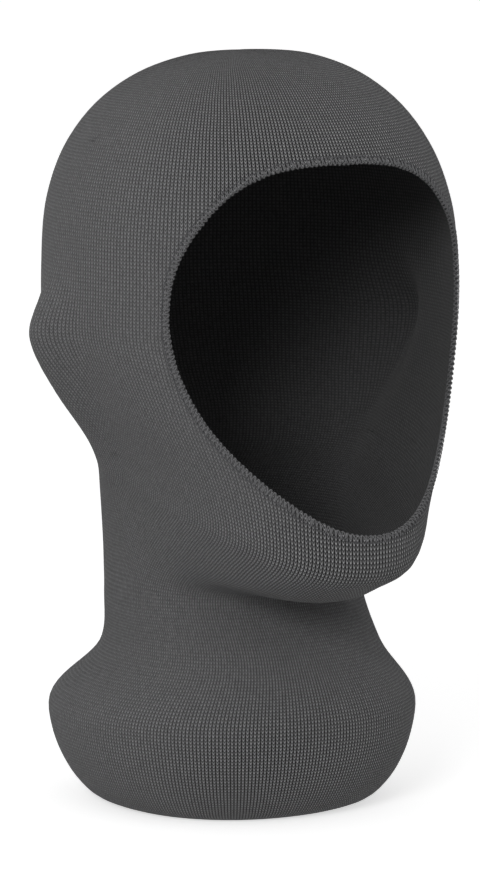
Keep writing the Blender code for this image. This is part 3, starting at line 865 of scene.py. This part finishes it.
def knit_material(name, yarn, gap, leg_slope, depth):
    """Jersey knit in charcoal acrylic: columns of V stitches, with painted shade in the gaps
    between them.

    A wale fades to a groove of painted shade at its two sides and has a hole of painted shade in
    its middle once a course. Its two legs rise from the middle, so their painted shading is a
    cosine of the course count less the slope times the distance from the middle, and the yarn tops
    get painted light. Where the knit is pulled tight over the head its gaps open, and the stretch
    attribute brings their painted shade to full strength and lightens the yarn tops as painted
    light.
    """
    material, tree, shader = new_material(name, 0.92, 0.10)
    counts = add_node(tree, "ShaderNodeUVMap", uv_map="knit").outputs["UV"]
    place = add_node(tree, "ShaderNodeTexCoord").outputs["Object"]
    drift = add_node(tree, "ShaderNodeTexNoise", {"Vector": place, "Scale": 60.0, "Detail": 3.0})
    shifted = add_node(tree, "ShaderNodeVectorMath",
                       {0: drift.outputs["Color"], 1: (0.5, 0.5, 0.5)}, operation="SUBTRACT")
    small = add_node(tree, "ShaderNodeVectorMath", {0: shifted.outputs[0], "Scale": 0.35},
                     operation="SCALE")
    moved = add_node(tree, "ShaderNodeVectorMath", {0: counts, 1: small.outputs[0]})
    split = add_node(tree, "ShaderNodeSeparateXYZ", {0: moved.outputs[0]})
    wale = add_node(tree, "ShaderNodeMath", {0: split.outputs["X"]}, operation="FRACT")
    centred = add_node(tree, "ShaderNodeMath", {0: wale.outputs[0], 1: 0.5},
                       operation="SUBTRACT")
    off_middle = add_node(tree, "ShaderNodeMath", {0: centred.outputs[0]},
                          operation="ABSOLUTE")
    groove = add_node(tree, "ShaderNodeMapRange",
                      {"Value": off_middle.outputs[0], "From Min": 0.50, "From Max": 0.06},
                      interpolation_type="SMOOTHSTEP")
    beside = add_node(tree, "ShaderNodeMapRange",
                      {"Value": off_middle.outputs[0], "From Min": 0.01, "From Max": 0.19},
                      interpolation_type="SMOOTHSTEP")
    course = add_node(tree, "ShaderNodeMath",
                      {0: split.outputs["Y"], 1: 2.0 * math.pi}, operation="MULTIPLY")
    beat = add_node(tree, "ShaderNodeMath", {0: course.outputs[0]}, operation="COSINE")
    bridge = add_node(tree, "ShaderNodeMapRange",
                      {"Value": beat.outputs[0], "From Min": -0.7, "From Max": 0.8, "To Min": 0.05})
    middle = add_node(tree, "ShaderNodeMath", {0: beside.outputs[0], 1: bridge.outputs[0]},
                      operation="MAXIMUM")
    risen = add_node(tree, "ShaderNodeMath",
                     {0: off_middle.outputs[0], 1: -4.0 * math.pi * leg_slope,
                      2: course.outputs[0]}, operation="MULTIPLY_ADD")
    leg = add_node(tree, "ShaderNodeMath", {0: risen.outputs[0]}, operation="COSINE")
    rope = add_node(tree, "ShaderNodeMapRange",
                    {"Value": leg.outputs[0], "From Min": -1.0, "From Max": 0.6, "To Min": 0.30})
    yarn_place = add_node(tree, "ShaderNodeMath", {0: groove.outputs[0], 1: middle.outputs[0]},
                          operation="MULTIPLY")
    relief = add_node(tree, "ShaderNodeMath", {0: yarn_place.outputs[0], 1: rope.outputs[0]},
                      operation="MULTIPLY")
    # Tight knit gets deeper painted shade in its opened gaps and lighter yarn tops as painted
    # light; slack knit is dimmer and flatter.
    stretch = add_node(tree, "ShaderNodeAttribute", attribute_name="stretch")
    gap_painted_shade = add_node(tree, "ShaderNodeMapRange",
                       {"Value": stretch.outputs["Fac"], "To Min": 0.22, "To Max": -0.10})
    yarn_top_painted_light = add_node(tree, "ShaderNodeMapRange",
                        {"Value": stretch.outputs["Fac"], "To Min": 0.36, "To Max": 1.0})
    fill = add_node(tree, "ShaderNodeMapRange",
                    {"Value": relief.outputs[0], "To Min": gap_painted_shade.outputs[0],
                     "To Max": yarn_top_painted_light.outputs[0]})
    fleck = add_node(tree, "ShaderNodeTexNoise", {"Vector": place, "Scale": 700.0,
                                                  "Detail": 2.0})
    fibre = add_node(tree, "ShaderNodeMapRange",
                     {"Value": fleck.outputs["Fac"], "From Min": 0.3, "From Max": 0.7,
                      "To Min": 0.82, "To Max": 1.18})
    # The relief goes into the colour as painted shade in the grooves, holes and leg sides and
    # painted light on the yarn tops; the bump takes the same relief.
    colour = add_node(tree, "ShaderNodeMix", {0: fill.outputs[0], 6: linear(gap),
                                              7: linear(yarn)}, data_type="RGBA")
    uneven = add_node(tree, "ShaderNodeVectorMath",
                      {0: colour.outputs[2], "Scale": fibre.outputs[0]}, operation="SCALE")
    tree.links.new(uneven.outputs[0], shader.inputs["Base Color"])
    bump = add_node(tree, "ShaderNodeBump", {"Height": relief.outputs[0],
                                             "Distance": depth, "Strength": 1.0})
    tree.links.new(bump.outputs[0], shader.inputs["Normal"])
    return material


def thread_material(name, colour, dark):
    """Polyester sewing thread: matt, with its two plies twisted round each other.

    The plies turn once in 0.9 mm, so a slanting band of painted light and a dark band of painted
    shade show in turn, over a bump of the same twist.
    """
    material, tree, shader = new_material(name, 0.8, 0.15)
    counts = add_node(tree, "ShaderNodeUVMap", uv_map="knit").outputs["UV"]
    split = add_node(tree, "ShaderNodeSeparateXYZ", {0: counts})
    lay = add_node(tree, "ShaderNodeMath", {0: split.outputs["Y"], 1: 1.0 / 0.9,
                                            2: split.outputs["X"]}, operation="MULTIPLY_ADD")
    twice = add_node(tree, "ShaderNodeMath", {0: lay.outputs[0], 1: 4.0 * math.pi},
                     operation="MULTIPLY")
    ply = add_node(tree, "ShaderNodeMath", {0: twice.outputs[0]}, operation="SINE")
    fill = add_node(tree, "ShaderNodeMapRange", {"Value": ply.outputs[0], "From Min": -1.0,
                                                 "From Max": 0.6})
    mix = add_node(tree, "ShaderNodeMix", {0: fill.outputs[0], 6: linear(dark),
                                           7: linear(colour)}, data_type="RGBA")
    tree.links.new(mix.outputs[2], shader.inputs["Base Color"])
    bump = add_node(tree, "ShaderNodeBump", {"Height": ply.outputs[0], "Distance": 0.0001,
                                             "Strength": 0.6})
    tree.links.new(bump.outputs[0], shader.inputs["Normal"])
    return material


def paper_material():
    """Matt white background paper, with a glow of its own that keeps it white in the shade."""
    material, _, shader = new_material("matt_white_paper", 0.9, 0.0)
    shader.inputs["Base Color"].default_value = linear("#F4F4F4")
    shader.inputs["Emission Color"].default_value = linear("#FFFFFF")
    shader.inputs["Emission Strength"].default_value = PAPER_GLOW
    return material


def make_floor():
    """A round sheet of paper under the object, which throws no light up onto it."""
    turns = np.linspace(0.0, 2.0 * math.pi, FLOOR_SIDES, endpoint=False)
    rim = np.stack([FLOOR_RADIUS * np.cos(turns), FLOOR_RADIUS * np.sin(turns),
                    np.full(FLOOR_SIDES, -FLOOR_DROP)], -1)
    floor = put_mesh("floor", rim, [list(range(FLOOR_SIDES))], np.zeros((FLOOR_SIDES, 2)),
                     [paper_material()])
    floor.visible_diffuse = False


def aim(obj, place, target):
    """Put a light or camera at a place, turned to its target."""
    obj.location = place
    ahead = Vector(target) - Vector(place)
    obj.rotation_euler = ahead.to_track_quat("-Z", "Y").to_euler()
    bpy.context.scene.collection.objects.link(obj)


def make_key():
    """A square soft light from the upper left."""
    data = bpy.data.lights.new("key", "AREA")
    data.size = KEY_SIZE
    data.energy = KEY_POWER
    aim(bpy.data.objects.new("key", data), KEY_PLACE, KEY_AIM)


def make_studio():
    """White surroundings, brighter above than below, a soft key light and the camera."""
    world = bpy.data.worlds.new("white_studio")
    world.use_nodes = True
    sky = world.node_tree.nodes["Background"]
    sky.inputs["Color"].default_value = (1.0, 1.0, 1.0, 1.0)
    upward = add_node(world.node_tree, "ShaderNodeSeparateXYZ", {
        0: add_node(world.node_tree, "ShaderNodeTexCoord").outputs["Generated"]})
    glow = add_node(world.node_tree, "ShaderNodeMapRange", {
        "Value": upward.outputs["Z"], "From Min": -0.3, "From Max": 0.6,
        "To Min": SURROUND_LOW, "To Max": SURROUND_HIGH})
    world.node_tree.links.new(glow.outputs[0], sky.inputs["Strength"])
    scene = bpy.context.scene
    scene.world = world
    scene.view_settings.view_transform = "Standard"
    make_key()
    data = bpy.data.cameras.new("camera")
    data.lens = CAMERA_LENS
    data.sensor_width = CAMERA_SENSOR
    camera = bpy.data.objects.new("camera", data)
    aim(camera, CAMERA_PLACE, CAMERA_TARGET)
    scene.camera = camera


def point_places(piece):
    """Places of a piece's points, as an array."""
    places = np.empty(len(piece.data.vertices) * 3)
    piece.data.vertices.foreach_get("co", places)
    return places.reshape(-1, 3)


def settle(pieces):
    """Move finished pieces to where the frame has the hood, in their meshes."""
    hood_places = point_places(pieces[0])
    low, high = hood_places.min(axis=0), hood_places.max(axis=0)
    shift = 0.5 * (HOOD_LOW + HOOD_HIGH - low - high)
    shift[2] = 0.0
    for piece in pieces:
        piece.data.vertices.foreach_set("co", (point_places(piece) + shift).ravel())
        piece.data.update()


make_studio()
make_floor()
# Charcoal acrylic. Outside, pale yarn tops with painted light stand over gaps in near black
# painted shade. Inside, the reverse loops are flatter, and darker all over as painted shade for
# the inside of the hood. The looper thread is bulky and pale, and the needle thread darker.
OUTER_KNIT = knit_material("acrylic_jersey_face_side", "#C8C8CA", "#030304", 0.75, 0.0006)
# Painted shade: the inside of the hood and the crown allowances take this darker copy of the knit.
INNER_KNIT_PAINTED_SHADE = knit_material("acrylic_jersey_reverse_side_painted_shade", "#6A6A6B", "#242425", -0.2, 0.0003)
# Each thread's second colour is the painted shade between its plies.
LOOPER = thread_material("textured_polyester_looper_thread", "#8C8C8E", "#565658")
NEEDLE = thread_material("spun_polyester_needle_thread", "#66666A", "#3E3E40")
hood = make_hood([OUTER_KNIT, INNER_KNIT_PAINTED_SHADE])
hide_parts("hood_fabric")
face_threads = overlock("face_edge", face_edge_line(), True, FACE_STITCH_PITCH, FABRIC, 3,
                        [LOOPER, NEEDLE])
hem_threads = overlock("hem_edge", hem_edge_line(), True, HEM_STITCH_PITCH, FABRIC, 7,
                       [LOOPER, NEEDLE])
seam_threads = overlock("crown_seam", seam_edge_line(), False, HEM_STITCH_PITCH, 2.0 * FABRIC,
                        11, [LOOPER, NEEDLE])
allowances = make_allowance(INNER_KNIT_PAINTED_SHADE)
sewn = face_threads + hem_threads + seam_threads + allowances
settle([hood] + sewn)
for piece in [hood] + sewn:
    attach(piece, "root")
